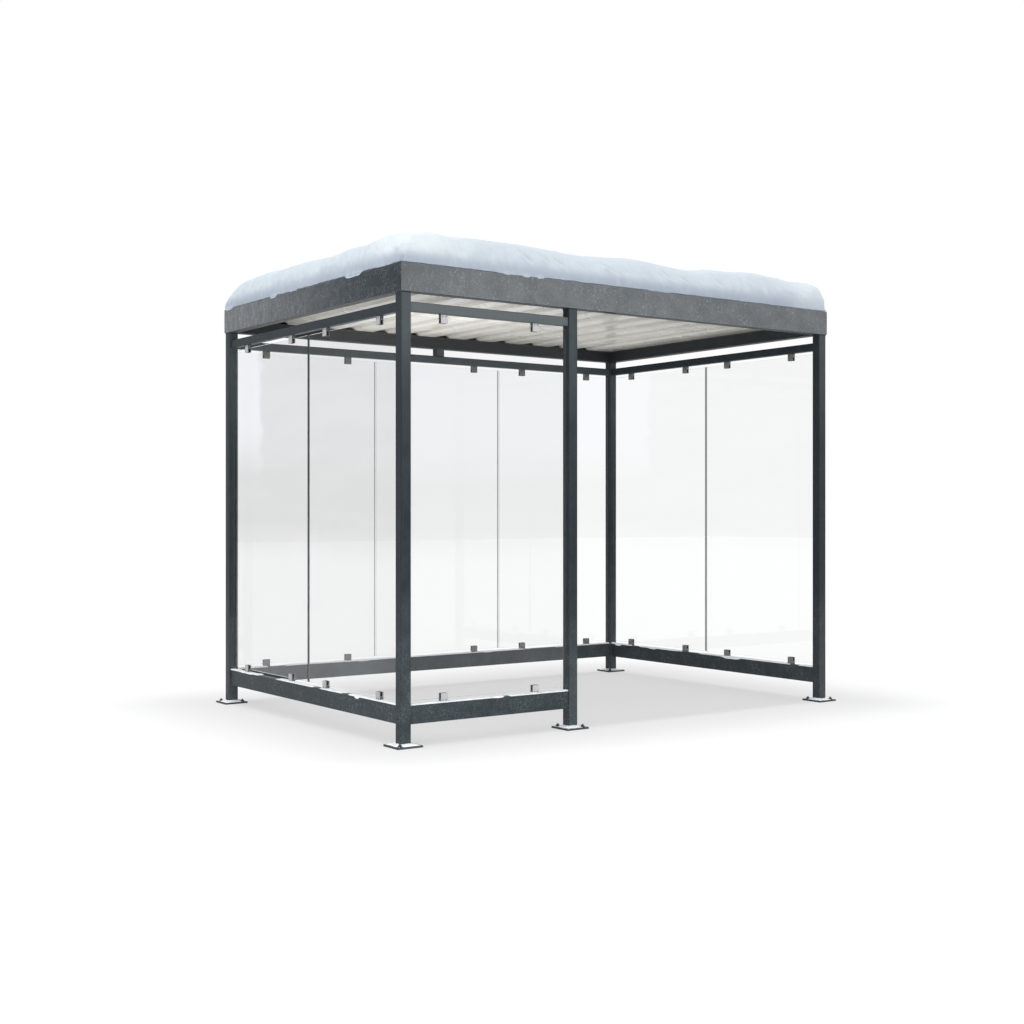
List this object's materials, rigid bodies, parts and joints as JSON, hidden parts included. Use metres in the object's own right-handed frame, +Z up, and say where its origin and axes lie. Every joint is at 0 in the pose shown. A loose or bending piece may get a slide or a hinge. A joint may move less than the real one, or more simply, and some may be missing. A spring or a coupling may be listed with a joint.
{
  "type": "smoking shelter",
  "caption": "Bolted-down steel frame shelter with clamped glass walls, an open front bay and a flat sheet roof under a mound of snow.",
  "frame": {"origin": "on the ground at the centre of the plan", "axes": "+X along the front to the right, +Y from the front to the rear, +Z up"},
  "size_m": [3.28, 2.26, 2.7316],
  "materials": {
    "frame_steel": "satin anthracite powder coat",
    "fascia": "satin grey powder coat with frost on it",
    "roof_sheet": "glossy cream coil coating",
    "clamps": "satin",
    "glass": "clear toughened",
    "snow": "matt fresh snow"
  },
  "bodies": {
    "root": {"front_left_base_plate": "frame_steel", "front_middle_base_plate": "frame_steel", "front_right_base_plate": "frame_steel", "rear_right_base_plate": "frame_steel", "rear_left_base_plate": "frame_steel", "front_left_post": "frame_steel", "front_middle_post": "frame_steel", "front_right_post": "frame_steel", "rear_right_post": "frame_steel", "rear_left_post": "frame_steel", "left_bottom_rail": "frame_steel", "rear_bottom_rail": "frame_steel", "right_bottom_rail": "frame_steel", "front_bottom_rail": "frame_steel", "left_top_rail": "frame_steel", "rear_top_rail": "frame_steel", "right_top_rail": "frame_steel", "front_top_rail": "frame_steel", "rear_rail_hanger": "frame_steel", "left_front_glass": "glass", "left_rear_glass": "glass", "rear_left_glass": "glass", "rear_middle_glass": "glass", "rear_right_glass": "glass", "right_rear_glass": "glass", "right_front_glass": "glass", "front_glass": "glass", "left_front_clamps": "clamps", "left_rear_clamps": "clamps", "rear_left_clamps": "clamps", "rear_middle_clamps": "clamps", "rear_right_clamps": "clamps", "right_rear_clamps": "clamps", "right_front_clamps": "clamps", "front_clamps": "clamps", "left_fascia": "fascia", "rear_fascia": "fascia", "right_fascia": "fascia", "front_fascia": "fascia", "left_roof_sheet": "roof_sheet", "middle_roof_sheet": "roof_sheet", "right_roof_sheet": "roof_sheet", "roof_snow": "snow"}
  },
  "joints": []
}
